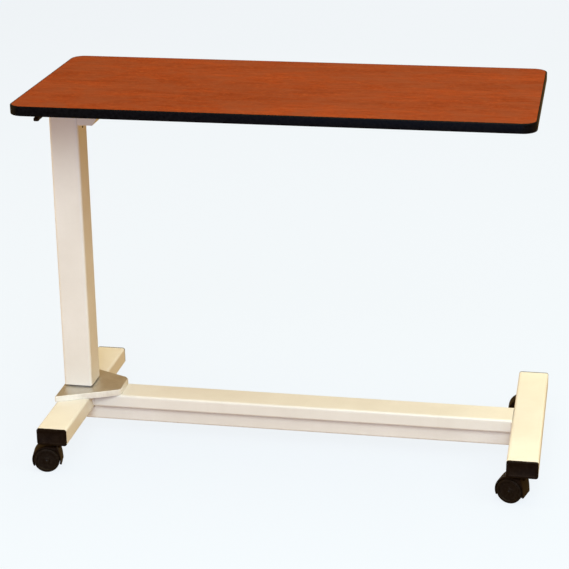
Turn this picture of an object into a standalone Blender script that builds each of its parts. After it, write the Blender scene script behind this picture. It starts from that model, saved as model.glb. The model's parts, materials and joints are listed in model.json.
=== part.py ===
"""Overbed table: a cantilevered top on a height-adjustable column over an H-shaped base on castors.

Metres, +Z up, X along the table's length, Y across it.  The origin is on the floor, under the
middle of the whole table.  The column stands on the left leg; the right leg is the far one.
"""

from math import atan2, cos, pi, radians, sin

import bmesh
import bpy
from mathutils import Matrix

# ---- driving dimensions -------------------------------------------------------------------
FIT_GAP = 0.0003            # clearance between pieces that touch or slide
RUNNING_GAP = 0.0006        # clearance round a turning or sliding rod

TOP_LENGTH = 0.916
TOP_DEPTH = 0.407
TOP_CORNER_RADIUS = 0.026
PANEL_THICKNESS = 0.0175
EDGE_BAND_THICKNESS = 0.0028
TABLE_HEIGHT = 0.706        # top surface at the lowest setting

LEG_LENGTH = 0.412          # over its end caps
LEG_WIDTH = 0.0572
LEG_HEIGHT = 0.0326
LEG_BOTTOM_Z = 0.060
LEG_CAP_THICKNESS = 0.004
LEG_CAP_INSERT = 0.012
TUBE_WALL = 0.002
TUBE_CORNER_RADIUS = 0.0045

LEFT_LEG_INSET = 0.0447     # leg centre, in from the top's left end
RIGHT_LEG_OVERHANG = 0.0253  # leg's outer face, beyond the top's right end

STRETCHER_WIDTH = 0.061
STRETCHER_HEIGHT = 0.027
STRETCHER_DROP = 0.001      # its top, below the legs' top
RAIL_WIDTH = 0.042
RAIL_HEIGHT = 0.029
RAIL_UNDER_LEG = 0.017      # how far the rail runs in under each leg
RAIL_PLUG_THICKNESS = 0.002

COLUMN_WIDTH = 0.055        # along X
COLUMN_DEPTH = 0.0574       # along Y
COLUMN_BOTTOM_Z = 0.1068
LIFT_STROKE = 0.380
COLUMN_OVERLAP = 0.102      # length of inner column still inside the outer one at full height
SLEEVE_WALL = 0.0029        # room between the two columns, filled by the plastic guides
GUIDE_LENGTH = 0.040

PLATE_TOP_Z = 0.104
PLATE_GAUGE = 0.003
PLATE_OVERHANG = 0.002      # past the leg's outer face
PLATE_HALF_DEPTH = 0.083    # at its outer edge
PLATE_END_HALF_DEPTH = 0.0305
PLATE_END_CORNER = 0.006
PLATE_REACH = 0.116         # from its outer edge along the stretcher

HEAD_PLATE_THICKNESS = 0.004
HEAD_PLATE_LENGTH = 0.0552
HEAD_PLATE_DEPTH = 0.200
ARM_REACH = 0.440           # from the column's inner face
ARM_HEIGHT = 0.030
ARM_ROOT_HEIGHT = 0.0597    # where it is welded to the column
ARM_ROOT_LENGTH = 0.0274    # straight part of the deep root
ARM_TAPER_LENGTH = 0.0205
ARM_GAUGE = 0.0025
ARM_FLANGE = 0.020

LEVER_PIVOT_Y = -0.050
LEVER_TIP_Y = -0.182
LEVER_WIDTH = 0.006
LEVER_BAR_THICKNESS = 0.004
LEVER_BOSS_RADIUS = 0.0045
GRIP_LENGTH = 0.062
GRIP_WALL = 0.0014
BRACKET_GAUGE = 0.0016
BRACKET_DEPTH = 0.022
PIVOT_PIN_RADIUS = 0.0015
LEVER_BAR_BOTTOM_Z = 0.6757

SPRING_RADIUS = 0.014
SPRING_WALL = 0.002
SPRING_TOP_Z = 0.560
ROD_RADIUS = 0.005
ROD_TOP_Z = 0.668
PISTON_BOTTOM_Z = 0.133
PISTON_HEIGHT = 0.012
RELEASE_PIN_RADIUS = 0.0022

STEM_INSET = 0.031          # castor stem, in from the end of the leg
WHEEL_RADIUS = 0.024
WHEEL_WIDTH = 0.0148
WHEEL_BORE_DEPTH = 0.009
WEB_THICKNESS = 0.009
HOOD_RADIUS = 0.0285
HOOD_WIDTH = 0.0368
HOOD_CHAMFER = 0.0022       # drawn in at both sides
HOOD_LEAD = 0.0085          # the hood's lower front corner, ahead of the stem
HOOD_LEAD_Z = 0.0195
HOOD_SHOULDER = 0.003       # its upper front corner, ahead of the stem
HOOD_SHOULDER_Z = 0.050
WEB_RADIUS = 0.017
POCKET_RADIUS = 0.0248
CASTOR_TRAIL = 0.0187
BOSS_RADIUS = 0.007
AXLE_RADIUS = 0.003
STEM_RADIUS = 0.0055
STEM_NECK_RADIUS = 0.004
SOCKET_WALL = 0.0012
SOCKET_FLANGE_RADIUS = 0.0085
FRONT_LEFT_SKEW = radians(11)   # how far each front castor is swivelled off the table's length
FRONT_RIGHT_SKEW = radians(16)

# ---- places worked out from them ----------------------------------------------------------
HOOD_REACH = (CASTOR_TRAIL + HOOD_RADIUS) * cos(FRONT_LEFT_SKEW) + HOOD_WIDTH / 2 * sin(FRONT_LEFT_SKEW)
CASTOR_OVERHANG = HOOD_REACH - LEFT_LEG_INSET   # beyond the top's left end
OVERALL_LENGTH = CASTOR_OVERHANG + TOP_LENGTH + RIGHT_LEG_OVERHANG
TOP_LEFT_X = CASTOR_OVERHANG - OVERALL_LENGTH / 2
TOP_CENTRE_X = TOP_LEFT_X + TOP_LENGTH / 2
LEFT_LEG_X = TOP_LEFT_X + LEFT_LEG_INSET
RIGHT_LEG_X = (OVERALL_LENGTH - LEG_WIDTH) / 2
LEG_TOP_Z = LEG_BOTTOM_Z + LEG_HEIGHT
STRETCHER_TOP_Z = LEG_TOP_Z - STRETCHER_DROP
LEG_CENTRE_Z = LEG_BOTTOM_Z + LEG_HEIGHT / 2
LEG_TUBE_LENGTH = LEG_LENGTH - 2 * LEG_CAP_THICKNESS
INNER_COLUMN_TOP_Z = COLUMN_BOTTOM_Z + LIFT_STROKE + COLUMN_OVERLAP
PANEL_BOTTOM_Z = TABLE_HEIGHT - PANEL_THICKNESS
HEAD_PLATE_BOTTOM_Z = PANEL_BOTTOM_Z - FIT_GAP - HEAD_PLATE_THICKNESS
COLUMN_TOP_Z = HEAD_PLATE_BOTTOM_Z - FIT_GAP
STEM_Y = LEG_LENGTH / 2 - STEM_INSET
LEVER_PIVOT_Z = LEVER_BAR_BOTTOM_Z + LEVER_BAR_THICKNESS / 2

CASTORS = {
    # name: (leg x, stem y, direction of trail about Z)
    "front_left": (LEFT_LEG_X, -STEM_Y, pi + FRONT_LEFT_SKEW),
    "front_right": (RIGHT_LEG_X, -STEM_Y, pi - FRONT_RIGHT_SKEW),
    "rear_left": (LEFT_LEG_X, STEM_Y, pi),
    "rear_right": (RIGHT_LEG_X, STEM_Y, pi),
}

CREAM_PAINT = ("cream_paint", (0.80, 0.77, 0.68), 0.35, 0.0)
PLATE_PAINT = ("silver_paint", (0.50, 0.49, 0.46), 0.35, 0.6)
LAMINATE = ("cherry_laminate", (0.42, 0.09, 0.03), 0.35, 0.0)
BLACK_EDGE = ("black_edging", (0.012, 0.012, 0.015), 0.35, 0.0)
BLACK_PLASTIC = ("black_plastic", (0.015, 0.013, 0.012), 0.45, 0.0)
GUIDE_PLASTIC = ("guide_plastic", (0.75, 0.75, 0.72), 0.5, 0.0)
BLACK_RUBBER = ("black_tread", (0.02, 0.02, 0.02), 0.7, 0.0)
ZINC_STEEL = ("zinc_steel", (0.60, 0.60, 0.58), 0.35, 1.0)
BLACK_STEEL = ("black_steel", (0.03, 0.03, 0.03), 0.4, 0.8)


# ---- shared modelling helpers -------------------------------------------------------------
def clear_scene():
    for obj in list(bpy.data.objects):
        bpy.data.objects.remove(obj, do_unlink=True)


def material(spec):
    name, colour, roughness, metallic = spec
    found = bpy.data.materials.get(name)
    if found:
        return found
    made = bpy.data.materials.new(name)
    made.use_nodes = True
    shader = made.node_tree.nodes["Principled BSDF"]
    shader.inputs["Base Color"].default_value = (*colour, 1.0)
    shader.inputs["Roughness"].default_value = roughness
    shader.inputs["Metallic"].default_value = metallic
    return made


def make_object(name, bm, finish, location=(0, 0, 0), turn_z=0.0, parent=None):
    bmesh.ops.recalc_face_normals(bm, faces=bm.faces)
    mesh = bpy.data.meshes.new(name)
    bm.to_mesh(mesh)
    bm.free()
    mesh.shade_smooth()
    mesh.set_sharp_from_angle(angle=radians(30))
    obj = bpy.data.objects.new(name, mesh)
    obj.location = location
    obj.rotation_euler = (0, 0, turn_z)
    obj.parent = parent
    if finish:
        mesh.materials.append(material(finish))
    bpy.context.scene.collection.objects.link(obj)
    return obj


def make_empty(name, location, turn_z=0.0, parent=None):
    empty = bpy.data.objects.new(name, None)
    empty.location = location
    empty.rotation_euler = (0, 0, turn_z)
    empty.parent = parent
    bpy.context.scene.collection.objects.link(empty)
    return empty


def rounded_rectangle(width, depth, radius, steps=5):
    """Points of a rectangle with round corners, anticlockwise, centred on the origin."""
    points = []
    corners = ((1, 1, 0), (-1, 1, 90), (-1, -1, 180), (1, -1, 270))
    for side_x, side_y, start in corners:
        centre_x = side_x * (width / 2 - radius)
        centre_y = side_y * (depth / 2 - radius)
        for step in range(steps):
            angle = radians(start + 90 * step / (steps - 1))
            points.append((centre_x + radius * cos(angle), centre_y + radius * sin(angle)))
    return points


def circle(radius, steps):
    return [(radius * cos(2 * pi * i / steps), radius * sin(2 * pi * i / steps)) for i in range(steps)]


def add_loop(bm, points, height):
    return [bm.verts.new((x, y, height)) for x, y in points]


def join_loops(bm, first, second):
    count = len(first)
    for i in range(count):
        after = (i + 1) % count
        bm.faces.new((first[i], first[after], second[after], second[i]))


def swept_ring(width, depth, radius, profile, steps=5):
    """A closed (offset, height) profile carried round a rounded rectangle: tubes and bands."""
    bm = bmesh.new()
    loops = []
    for offset, height in profile:
        outline = rounded_rectangle(width + 2 * offset, depth + 2 * offset, radius + offset, steps)
        loops.append(add_loop(bm, outline, height))
    for i, loop in enumerate(loops):
        join_loops(bm, loop, loops[(i + 1) % len(loops)])
    return bm


def swept_solid(width, depth, radius, profile, steps=5):
    """An open (offset, height) profile carried round a rounded rectangle and capped."""
    bm = bmesh.new()
    loops = []
    for offset, height in profile:
        outline = rounded_rectangle(width + 2 * offset, depth + 2 * offset, radius + offset, steps)
        loops.append(add_loop(bm, outline, height))
    for lower, upper in zip(loops, loops[1:]):
        join_loops(bm, lower, upper)
    bm.faces.new(loops[0])
    bm.faces.new(loops[-1])
    return bm


def tube_profile(length, wall):
    half = length / 2
    return [(0, -half), (0, half), (-wall, half), (-wall, -half)]


def turned_solid(profile, steps=16):
    """A profile of (radius, height) from the bottom cap to the top cap, turned about Z."""
    bm = bmesh.new()
    loops = [add_loop(bm, circle(radius, steps), height) for radius, height in profile]
    for lower, upper in zip(loops, loops[1:]):
        join_loops(bm, lower, upper)
    bm.faces.new(loops[0])
    bm.faces.new(loops[-1])
    return bm


def hole_tool(radius, low, high, steps=16):
    """A cylinder about Z to cut a hole with, a flat side facing +X."""
    return turn(turned_solid(((radius, low), (radius, high)), steps), 180 / steps, "Z")


def turned_ring(profile, steps=16):
    """A closed profile of (radius, height) off the axis, turned about Z."""
    bm = bmesh.new()
    loops = [add_loop(bm, circle(radius, steps), height) for radius, height in profile]
    for i, loop in enumerate(loops):
        join_loops(bm, loop, loops[(i + 1) % len(loops)])
    return bm


def extruded(points, thickness):
    """A flat outline in X and Y given a thickness, centred on Z = 0."""
    bm = bmesh.new()
    lower = add_loop(bm, points, -thickness / 2)
    upper = add_loop(bm, points, thickness / 2)
    join_loops(bm, lower, upper)
    bm.faces.new(lower)
    bm.faces.new(upper)
    return bm


def turn(bm, degrees, axis):
    bmesh.ops.rotate(bm, verts=bm.verts, cent=(0, 0, 0), matrix=Matrix.Rotation(radians(degrees), 3, axis))
    return bm


def stand_outline_up(bm):
    """Turn an outline drawn in X and Y so that its Y runs up and its thickness lies along Y."""
    return turn(bm, 90, "X")


def box(width, depth, height):
    bm = bmesh.new()
    bmesh.ops.create_cube(bm, size=1.0)
    bmesh.ops.scale(bm, vec=(width, depth, height), verts=bm.verts)
    return bm


def combine(obj, name, bm, operation, location=(0, 0, 0), parent=None):
    """Cut a tool shape out of an object, or join it on, and hide the tool."""
    tool = make_object(name, bm, None, location, parent=parent)
    tool.hide_render = True
    tool.display_type = "WIRE"
    modifier = obj.modifiers.new(name, "BOOLEAN")
    modifier.operation = operation
    modifier.solver = "EXACT"
    modifier.object = tool
    return tool


# ---- the base -----------------------------------------------------------------------------
def build_leg(side, leg_x):
    """One leg: a rectangular tube along Y with castor holes and, on the left, bolt holes."""
    tube = swept_ring(LEG_WIDTH, LEG_HEIGHT, TUBE_CORNER_RADIUS, tube_profile(LEG_TUBE_LENGTH, TUBE_WALL))
    leg = make_object(f"{side}_leg_tube", turn(tube, 90, "X"), CREAM_PAINT, (leg_x, 0, LEG_CENTRE_Z))
    for end, stem_y in (("front", -STEM_Y), ("rear", STEM_Y)):
        hole = hole_tool(STEM_RADIUS + SOCKET_WALL + 2 * FIT_GAP, -0.006, 0.006)
        combine(leg, f"cut_{side}_{end}_stem_hole", hole, "DIFFERENCE", (leg_x, stem_y, LEG_BOTTOM_Z))


def build_leg_caps():
    """Black plastic caps: a face plate with the tube's outline and a plug inside the tube."""
    plug_offset = -TUBE_WALL - FIT_GAP
    profile = (
        (plug_offset - 0.001, -LEG_CAP_INSERT),
        (plug_offset, -LEG_CAP_INSERT + 0.002),
        (plug_offset, FIT_GAP),
        (0, FIT_GAP),
        (0, LEG_CAP_THICKNESS - 0.001),
        (-0.001, LEG_CAP_THICKNESS),
    )
    for name, (leg_x, stem_y, _) in CASTORS.items():
        cap = swept_solid(LEG_WIDTH, LEG_HEIGHT, TUBE_CORNER_RADIUS, profile)
        turn(cap, 90, "X")
        end_turn = 0.0 if stem_y < 0 else pi
        end_y = (LEG_TUBE_LENGTH / 2) * (-1 if stem_y < 0 else 1)
        make_object(f"leg_cap_{name}", cap, BLACK_PLASTIC, (leg_x, end_y, LEG_CENTRE_Z), end_turn)


def build_crosspieces():
    """The stretcher between the legs, and the narrower rail welded under it, notched for the legs."""
    left_face = LEFT_LEG_X + LEG_WIDTH / 2 + FIT_GAP
    right_face = RIGHT_LEG_X - LEG_WIDTH / 2 - FIT_GAP
    stretcher = swept_ring(STRETCHER_WIDTH, STRETCHER_HEIGHT, TUBE_CORNER_RADIUS,
                           tube_profile(right_face - left_face, TUBE_WALL))
    turn(stretcher, 90, "X")
    make_object("stretcher_tube", stretcher, CREAM_PAINT,
                ((left_face + right_face) / 2, 0, STRETCHER_TOP_Z - STRETCHER_HEIGHT / 2), pi / 2)

    rail_left = left_face - RAIL_UNDER_LEG
    rail_right = right_face + RAIL_UNDER_LEG
    rail_top = STRETCHER_TOP_Z - STRETCHER_HEIGHT - FIT_GAP
    rail_radius = TUBE_CORNER_RADIUS - 0.001
    tube = swept_ring(RAIL_WIDTH, RAIL_HEIGHT, rail_radius, tube_profile(rail_right - rail_left, TUBE_WALL))
    turn(tube, 90, "X")
    rail = make_object("lower_rail", tube, CREAM_PAINT,
                       ((rail_left + rail_right) / 2, 0, rail_top - RAIL_HEIGHT / 2), pi / 2)
    for side, leg_x in (("left", LEFT_LEG_X), ("right", RIGHT_LEG_X)):
        notch = box(LEG_WIDTH + 4 * FIT_GAP, RAIL_WIDTH + 0.01, LEG_HEIGHT)
        combine(rail, f"cut_rail_{side}_notch", notch, "DIFFERENCE", (leg_x, 0, LEG_CENTRE_Z - FIT_GAP))

    end_height = LEG_BOTTOM_Z - FIT_GAP - (rail_top - RAIL_HEIGHT)
    plug_z = LEG_BOTTOM_Z - FIT_GAP - end_height / 2
    plug_offset = -TUBE_WALL - FIT_GAP
    profile = (
        (plug_offset, -0.008),
        (plug_offset, FIT_GAP),
        (-0.0005, FIT_GAP),
        (-0.0005, RAIL_PLUG_THICKNESS),
    )
    for side, end_x, end_turn in (("left", rail_left, -pi / 2), ("right", rail_right, pi / 2)):
        plug = swept_solid(RAIL_WIDTH, end_height, rail_radius, profile, steps=3)
        turn(plug, 90, "X")
        make_object(f"rail_plug_{side}", plug, BLACK_PLASTIC, (end_x, 0, plug_z), end_turn)


def base_plate_outline(inset):
    """The plate from above: deepest at the leg's outer edge, tapering onto the stretcher."""
    plate_left = -LEG_WIDTH / 2 - PLATE_OVERHANG
    outer_x = plate_left + inset
    end_x = plate_left + PLATE_REACH - inset
    slope = (PLATE_HALF_DEPTH - PLATE_END_HALF_DEPTH) / PLATE_REACH
    side_inset = inset / cos(atan2(slope, 1))
    corner = PLATE_END_CORNER

    def half_depth(x):
        return PLATE_HALF_DEPTH - side_inset - slope * (x - plate_left)

    return [
        (outer_x, -half_depth(outer_x)),
        (end_x - corner, -half_depth(end_x - corner)),
        (end_x, -half_depth(end_x) + corner),
        (end_x, half_depth(end_x) - corner),
        (end_x - corner, half_depth(end_x - corner)),
        (outer_x, half_depth(outer_x)),
    ]


def build_base_plate():
    """A shallow inverted pan of sheet steel that ties leg, stretcher and column together."""
    pan_bottom = STRETCHER_TOP_Z + FIT_GAP
    height = PLATE_TOP_Z - pan_bottom
    pan = make_object("base_plate", extruded(base_plate_outline(0), height), PLATE_PAINT,
                      (LEFT_LEG_X, 0, pan_bottom + height / 2))
    hollow = extruded(base_plate_outline(PLATE_GAUGE), height)
    combine(pan, "cut_plate_hollow", hollow, "DIFFERENCE",
            (LEFT_LEG_X, 0, pan_bottom + height / 2 - PLATE_GAUGE))
    seat_margin = 0.010
    seat_width = LEG_WIDTH + 2 * FIT_GAP + seat_margin
    leg_seat = box(seat_width, LEG_LENGTH, LEG_HEIGHT)
    combine(pan, "cut_plate_leg_seat", leg_seat, "DIFFERENCE",
            (LEFT_LEG_X - seat_margin / 2, 0, LEG_CENTRE_Z + FIT_GAP))


def build_leg_bolts():
    """Hex bolts up through the left leg's floor, which clamp it to the plate."""
    shank_length = LEG_TOP_Z - LEG_BOTTOM_Z - TUBE_WALL - 0.002
    for end, bolt_y in (("front", -0.062), ("rear", 0.062)):
        bolt = bmesh.new()
        loops = (
            add_loop(bolt, circle(0.0065, 6), -0.0053),
            add_loop(bolt, circle(0.0065, 6), -FIT_GAP),
        )
        join_loops(bolt, *loops)
        bolt.faces.new(loops[0])
        bolt.faces.new(loops[1])
        head = make_object(f"leg_bolt_{end}", bolt, ZINC_STEEL, (LEFT_LEG_X, bolt_y, LEG_BOTTOM_Z))
        shank = turned_solid(((0.004, -0.002), (0.004, shank_length)))
        combine(head, f"join_{end}_bolt_shank", shank, "UNION", (LEFT_LEG_X, bolt_y, LEG_BOTTOM_Z))
        hole = hole_tool(0.0046, -0.006, 0.006)
        combine(bpy.data.objects["left_leg_tube"], f"cut_{end}_bolt_hole", hole, "DIFFERENCE",
                (LEFT_LEG_X, bolt_y, LEG_BOTTOM_Z))


def build_inner_column():
    """The fixed column on the plate, its plastic bush, and the gas spring's cylinder inside it."""
    width = COLUMN_WIDTH - 2 * TUBE_WALL - 2 * SLEEVE_WALL
    depth = COLUMN_DEPTH - 2 * TUBE_WALL - 2 * SLEEVE_WALL
    bottom = PLATE_TOP_Z + FIT_GAP
    length = INNER_COLUMN_TOP_Z - bottom
    radius = 0.003
    tube = swept_ring(width, depth, radius, tube_profile(length, TUBE_WALL))
    make_object("inner_column", tube, ZINC_STEEL, (LEFT_LEG_X, 0, bottom + length / 2))
    build_guide("column_top_bush", INNER_COLUMN_TOP_Z - GUIDE_LENGTH / 2)


def build_guide(name, centre_z):
    """A plastic sleeve that fills the room between the columns over a short length."""
    width = COLUMN_WIDTH - 2 * TUBE_WALL - 2 * FIT_GAP
    depth = COLUMN_DEPTH - 2 * TUBE_WALL - 2 * FIT_GAP
    wall = SLEEVE_WALL - 2 * FIT_GAP
    sleeve = swept_ring(width, depth, 0.004, tube_profile(GUIDE_LENGTH, wall))
    make_object(name, sleeve, GUIDE_PLASTIC, (LEFT_LEG_X, 0, centre_z))


def build_gas_spring():
    """A locking gas spring: cylinder and gland on the base, rod, piston and pin on the lift."""
    bore = SPRING_RADIUS - SPRING_WALL
    stud_bottom = PLATE_TOP_Z + FIT_GAP
    shell_bottom = stud_bottom + 0.008
    cylinder = turned_solid((
        (0.004, stud_bottom),
        (0.004, shell_bottom),
        (SPRING_RADIUS, shell_bottom),
        (SPRING_RADIUS, SPRING_TOP_Z),
        (bore, SPRING_TOP_Z),
        (bore, shell_bottom + 0.006),
    ))
    make_object("gas_spring_cylinder", cylinder, BLACK_STEEL, (LEFT_LEG_X, 0, 0))

    gland_bottom = SPRING_TOP_Z - 0.020
    gland = turned_ring((
        (bore - FIT_GAP, gland_bottom),
        (bore - FIT_GAP, SPRING_TOP_Z),
        (ROD_RADIUS + RUNNING_GAP, SPRING_TOP_Z),
        (ROD_RADIUS + RUNNING_GAP, gland_bottom),
    ))
    make_object("gas_spring_gland", gland, BLACK_STEEL, (LEFT_LEG_X, 0, 0))

    pin_hole_bottom = ROD_TOP_Z - 0.014
    rod = turned_solid((
        (bore - RUNNING_GAP, PISTON_BOTTOM_Z),
        (bore - RUNNING_GAP, PISTON_BOTTOM_Z + PISTON_HEIGHT),
        (ROD_RADIUS, PISTON_BOTTOM_Z + PISTON_HEIGHT),
        (ROD_RADIUS, ROD_TOP_Z),
        (RELEASE_PIN_RADIUS + RUNNING_GAP, ROD_TOP_Z),
        (RELEASE_PIN_RADIUS + RUNNING_GAP, pin_hole_bottom),
    ))
    make_object("gas_spring_rod", rod, ZINC_STEEL, (LEFT_LEG_X, 0, 0))

    pin_length = LEVER_BAR_BOTTOM_Z - FIT_GAP - (pin_hole_bottom + 0.004)
    pin = turned_solid(((RELEASE_PIN_RADIUS, -pin_length), (RELEASE_PIN_RADIUS, 0)), 12)
    make_object("release_pin", pin, ZINC_STEEL, (LEFT_LEG_X, 0, LEVER_BAR_BOTTOM_Z - FIT_GAP))


# ---- the lift -----------------------------------------------------------------------------
def build_outer_column():
    """The moving column, notched at the top of its front wall for the release lever."""
    length = COLUMN_TOP_Z - COLUMN_BOTTOM_Z
    tube = swept_ring(COLUMN_WIDTH, COLUMN_DEPTH, TUBE_CORNER_RADIUS, tube_profile(length, TUBE_WALL))
    column = make_object("outer_column", tube, CREAM_PAINT, (LEFT_LEG_X, 0, COLUMN_BOTTOM_Z + length / 2))
    notch_height = 0.024
    combine(column, "cut_lever_notch", box(LEVER_WIDTH + 0.006, 0.020, notch_height), "DIFFERENCE",
            (LEFT_LEG_X, -COLUMN_DEPTH / 2, COLUMN_TOP_Z - notch_height / 2 + 0.002))
    build_guide("column_guide_collar", COLUMN_BOTTOM_Z + 0.002 + GUIDE_LENGTH / 2)


def build_spring_head():
    """The block that carries the spring's rod, and the screw that holds it in the column."""
    width = COLUMN_WIDTH - 2 * TUBE_WALL - 2 * FIT_GAP
    depth = COLUMN_DEPTH - 2 * TUBE_WALL - 2 * FIT_GAP
    bottom, top = 0.602, 0.630
    screw_z = 0.618
    block = swept_solid(width, depth, 0.002, ((0, bottom), (0, top)), 3)
    head = make_object("spring_head_block", block, ZINC_STEEL, (LEFT_LEG_X, 0, 0))
    bore = hole_tool(ROD_RADIUS + FIT_GAP, bottom - 0.01, top + 0.01)
    combine(head, "cut_head_rod_bore", bore, "DIFFERENCE", (LEFT_LEG_X, 0, 0))

    face_x = LEFT_LEG_X + COLUMN_WIDTH / 2
    screw = turned_solid((
        (0.0012, -0.010),
        (0.0012, FIT_GAP),
        (0.0020, FIT_GAP),
        (0.0020, 0.0008),
        (0.0014, 0.0014),
    ), 12)
    make_object("column_side_screw", turn(screw, 90, "Y"), BLACK_STEEL, (face_x, 0, screw_z))
    for drilled in ("spring_head_block", "outer_column"):
        hole = turn(hole_tool(0.0015, -0.011, 0.005, 12), 90, "Y")
        combine(bpy.data.objects[drilled], f"cut_screw_{drilled}", hole, "DIFFERENCE", (face_x, 0, screw_z))


def build_support_arm():
    """Head plate on the column, and the folded arm that runs out under the top."""
    plate = swept_solid(HEAD_PLATE_LENGTH, HEAD_PLATE_DEPTH, 0.008, ((0, 0), (0, HEAD_PLATE_THICKNESS)), 4)
    make_object("head_plate", plate, CREAM_PAINT, (LEFT_LEG_X, 0, HEAD_PLATE_BOTTOM_Z))

    start_x = LEFT_LEG_X + COLUMN_WIDTH / 2 + FIT_GAP
    taper_x = ARM_ROOT_LENGTH + ARM_TAPER_LENGTH
    side = (
        (0, -ARM_ROOT_HEIGHT),
        (ARM_ROOT_LENGTH, -ARM_ROOT_HEIGHT),
        (taper_x, -ARM_HEIGHT),
        (ARM_REACH - 0.030, -ARM_HEIGHT),
        (ARM_REACH, -0.012),
        (ARM_REACH, 0),
        (0, 0),
    )
    solid = stand_outline_up(extruded(side, COLUMN_DEPTH))
    arm = make_object("support_arm", solid, CREAM_PAINT, (start_x, 0, PANEL_BOTTOM_Z - FIT_GAP))
    flange = box(ARM_REACH - 0.020, COLUMN_DEPTH + 2 * ARM_FLANGE, ARM_GAUGE)
    combine(arm, "join_arm_flange", flange, "UNION",
            (start_x + 0.020 + (ARM_REACH - 0.020) / 2, 0, PANEL_BOTTOM_Z - FIT_GAP - ARM_GAUGE / 2))
    inside = (
        (-0.010, ARM_GAUGE - ARM_ROOT_HEIGHT),
        (ARM_ROOT_LENGTH - ARM_GAUGE / 2, ARM_GAUGE - ARM_ROOT_HEIGHT),
        (taper_x - ARM_GAUGE / 2, ARM_GAUGE - ARM_HEIGHT),
        (ARM_REACH - 0.031, ARM_GAUGE - ARM_HEIGHT),
        (ARM_REACH - ARM_GAUGE, -0.0105),
        (ARM_REACH - ARM_GAUGE, 0.010),
        (-0.010, 0.010),
    )
    hollow = stand_outline_up(extruded(inside, COLUMN_DEPTH - 2 * ARM_GAUGE))
    combine(arm, "cut_arm_hollow", hollow, "DIFFERENCE", (start_x, 0, PANEL_BOTTOM_Z - FIT_GAP))


def build_top_screws():
    """Pan-head screws up through the head plate and the arm's flanges into the panel."""
    start_x = LEFT_LEG_X + COLUMN_WIDTH / 2
    flange_y = COLUMN_DEPTH / 2 + ARM_FLANGE / 2
    places = (
        ("head_front", LEFT_LEG_X - 0.018, -0.085, HEAD_PLATE_BOTTOM_Z, "head_plate"),
        ("head_rear", LEFT_LEG_X + 0.018, 0.085, HEAD_PLATE_BOTTOM_Z, "head_plate"),
        ("arm_front", start_x + 0.380, -flange_y, PANEL_BOTTOM_Z - FIT_GAP - ARM_GAUGE, "support_arm"),
        ("arm_rear", start_x + 0.380, flange_y, PANEL_BOTTOM_Z - FIT_GAP - ARM_GAUGE, "support_arm"),
    )
    panel = bpy.data.objects["tabletop_panel"]
    for name, x, y, seat_z, clamped in places:
        screw = turned_solid((
            (0.0030, -0.0028),
            (0.0045, -0.0018),
            (0.0045, -FIT_GAP),
            (0.0018, -FIT_GAP),
            (0.0018, 0.015),
        ), 12)
        make_object(f"top_screw_{name}", screw, ZINC_STEEL, (x, y, seat_z))
        hole = hole_tool(0.0021, -0.004, 0.0154, 12)
        combine(bpy.data.objects[clamped], f"cut_{name}_clearance", hole, "DIFFERENCE", (x, y, seat_z))
        pilot = hole_tool(0.0021, -0.004, 0.0154, 12)
        combine(panel, f"cut_{name}_pilot", pilot, "DIFFERENCE", (x, y, seat_z))


def build_tabletop():
    """Laminated panel with round corners, and the black moulding round its edge."""
    panel_length = TOP_LENGTH - 2 * EDGE_BAND_THICKNESS
    panel_depth = TOP_DEPTH - 2 * EDGE_BAND_THICKNESS
    panel_radius = TOP_CORNER_RADIUS - EDGE_BAND_THICKNESS
    panel = swept_solid(panel_length, panel_depth, panel_radius, ((0, 0), (0, PANEL_THICKNESS)), 8)
    make_object("tabletop_panel", panel, LAMINATE, (TOP_CENTRE_X, 0, PANEL_BOTTOM_Z))

    inner = -EDGE_BAND_THICKNESS + FIT_GAP
    round_over = 0.0018
    profile = (
        (-round_over, 0),
        (0, round_over),
        (0, PANEL_THICKNESS - round_over),
        (-round_over, PANEL_THICKNESS),
        (inner, PANEL_THICKNESS),
        (inner, 0),
    )
    band = swept_ring(TOP_LENGTH, TOP_DEPTH, TOP_CORNER_RADIUS, profile, 8)
    make_object("tabletop_edge_band", band, BLACK_EDGE, (TOP_CENTRE_X, 0, PANEL_BOTTOM_Z))


# ---- the release lever --------------------------------------------------------------------
def build_lever():
    """A bar from the spring's pin out to the front, rocking on a pin in its own bracket."""
    boss = LEVER_BOSS_RADIUS
    tail_y = 0.006
    bar_end_y = LEVER_TIP_Y + 0.012
    half = LEVER_BAR_THICKNESS / 2
    outline = [(LEVER_PIVOT_Y - boss - 0.001, half), (bar_end_y, half),
               (bar_end_y, -half), (LEVER_PIVOT_Y - boss - 0.001, -half)]
    outline += [(LEVER_PIVOT_Y + boss * cos(radians(a)), boss * sin(radians(a))) for a in (225, 270, 315)]
    outline += [(LEVER_PIVOT_Y + boss + 0.001, -half), (tail_y, -half), (tail_y, half),
                (LEVER_PIVOT_Y + boss + 0.001, half)]
    outline += [(LEVER_PIVOT_Y + boss * cos(radians(a)), boss * sin(radians(a))) for a in (45, 90, 135)]
    along_pivot = [(y - LEVER_PIVOT_Y, z) for y, z in outline]
    pivot = make_empty("lever_pivot", (LEFT_LEG_X, LEVER_PIVOT_Y, LEVER_PIVOT_Z))
    bar = turn(stand_outline_up(extruded(along_pivot, LEVER_WIDTH)), 90, "Z")
    arm = make_object("lever_arm", bar, ZINC_STEEL, parent=pivot)
    hole = turn(hole_tool(PIVOT_PIN_RADIUS + FIT_GAP, -0.02, 0.02, 12), 90, "Y")
    combine(arm, "cut_lever_pivot_hole", hole, "DIFFERENCE", parent=pivot)
    build_lever_grip(pivot, bar_end_y)

    pin_half = LEVER_WIDTH / 2 + BRACKET_GAUGE + 0.003
    pin = turn(turned_solid(((PIVOT_PIN_RADIUS, -pin_half), (PIVOT_PIN_RADIUS, pin_half)), 12), 90, "Y")
    make_object("lever_pivot_pin", pin, ZINC_STEEL, (LEFT_LEG_X, LEVER_PIVOT_Y, LEVER_PIVOT_Z))
    build_lever_bracket()


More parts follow.
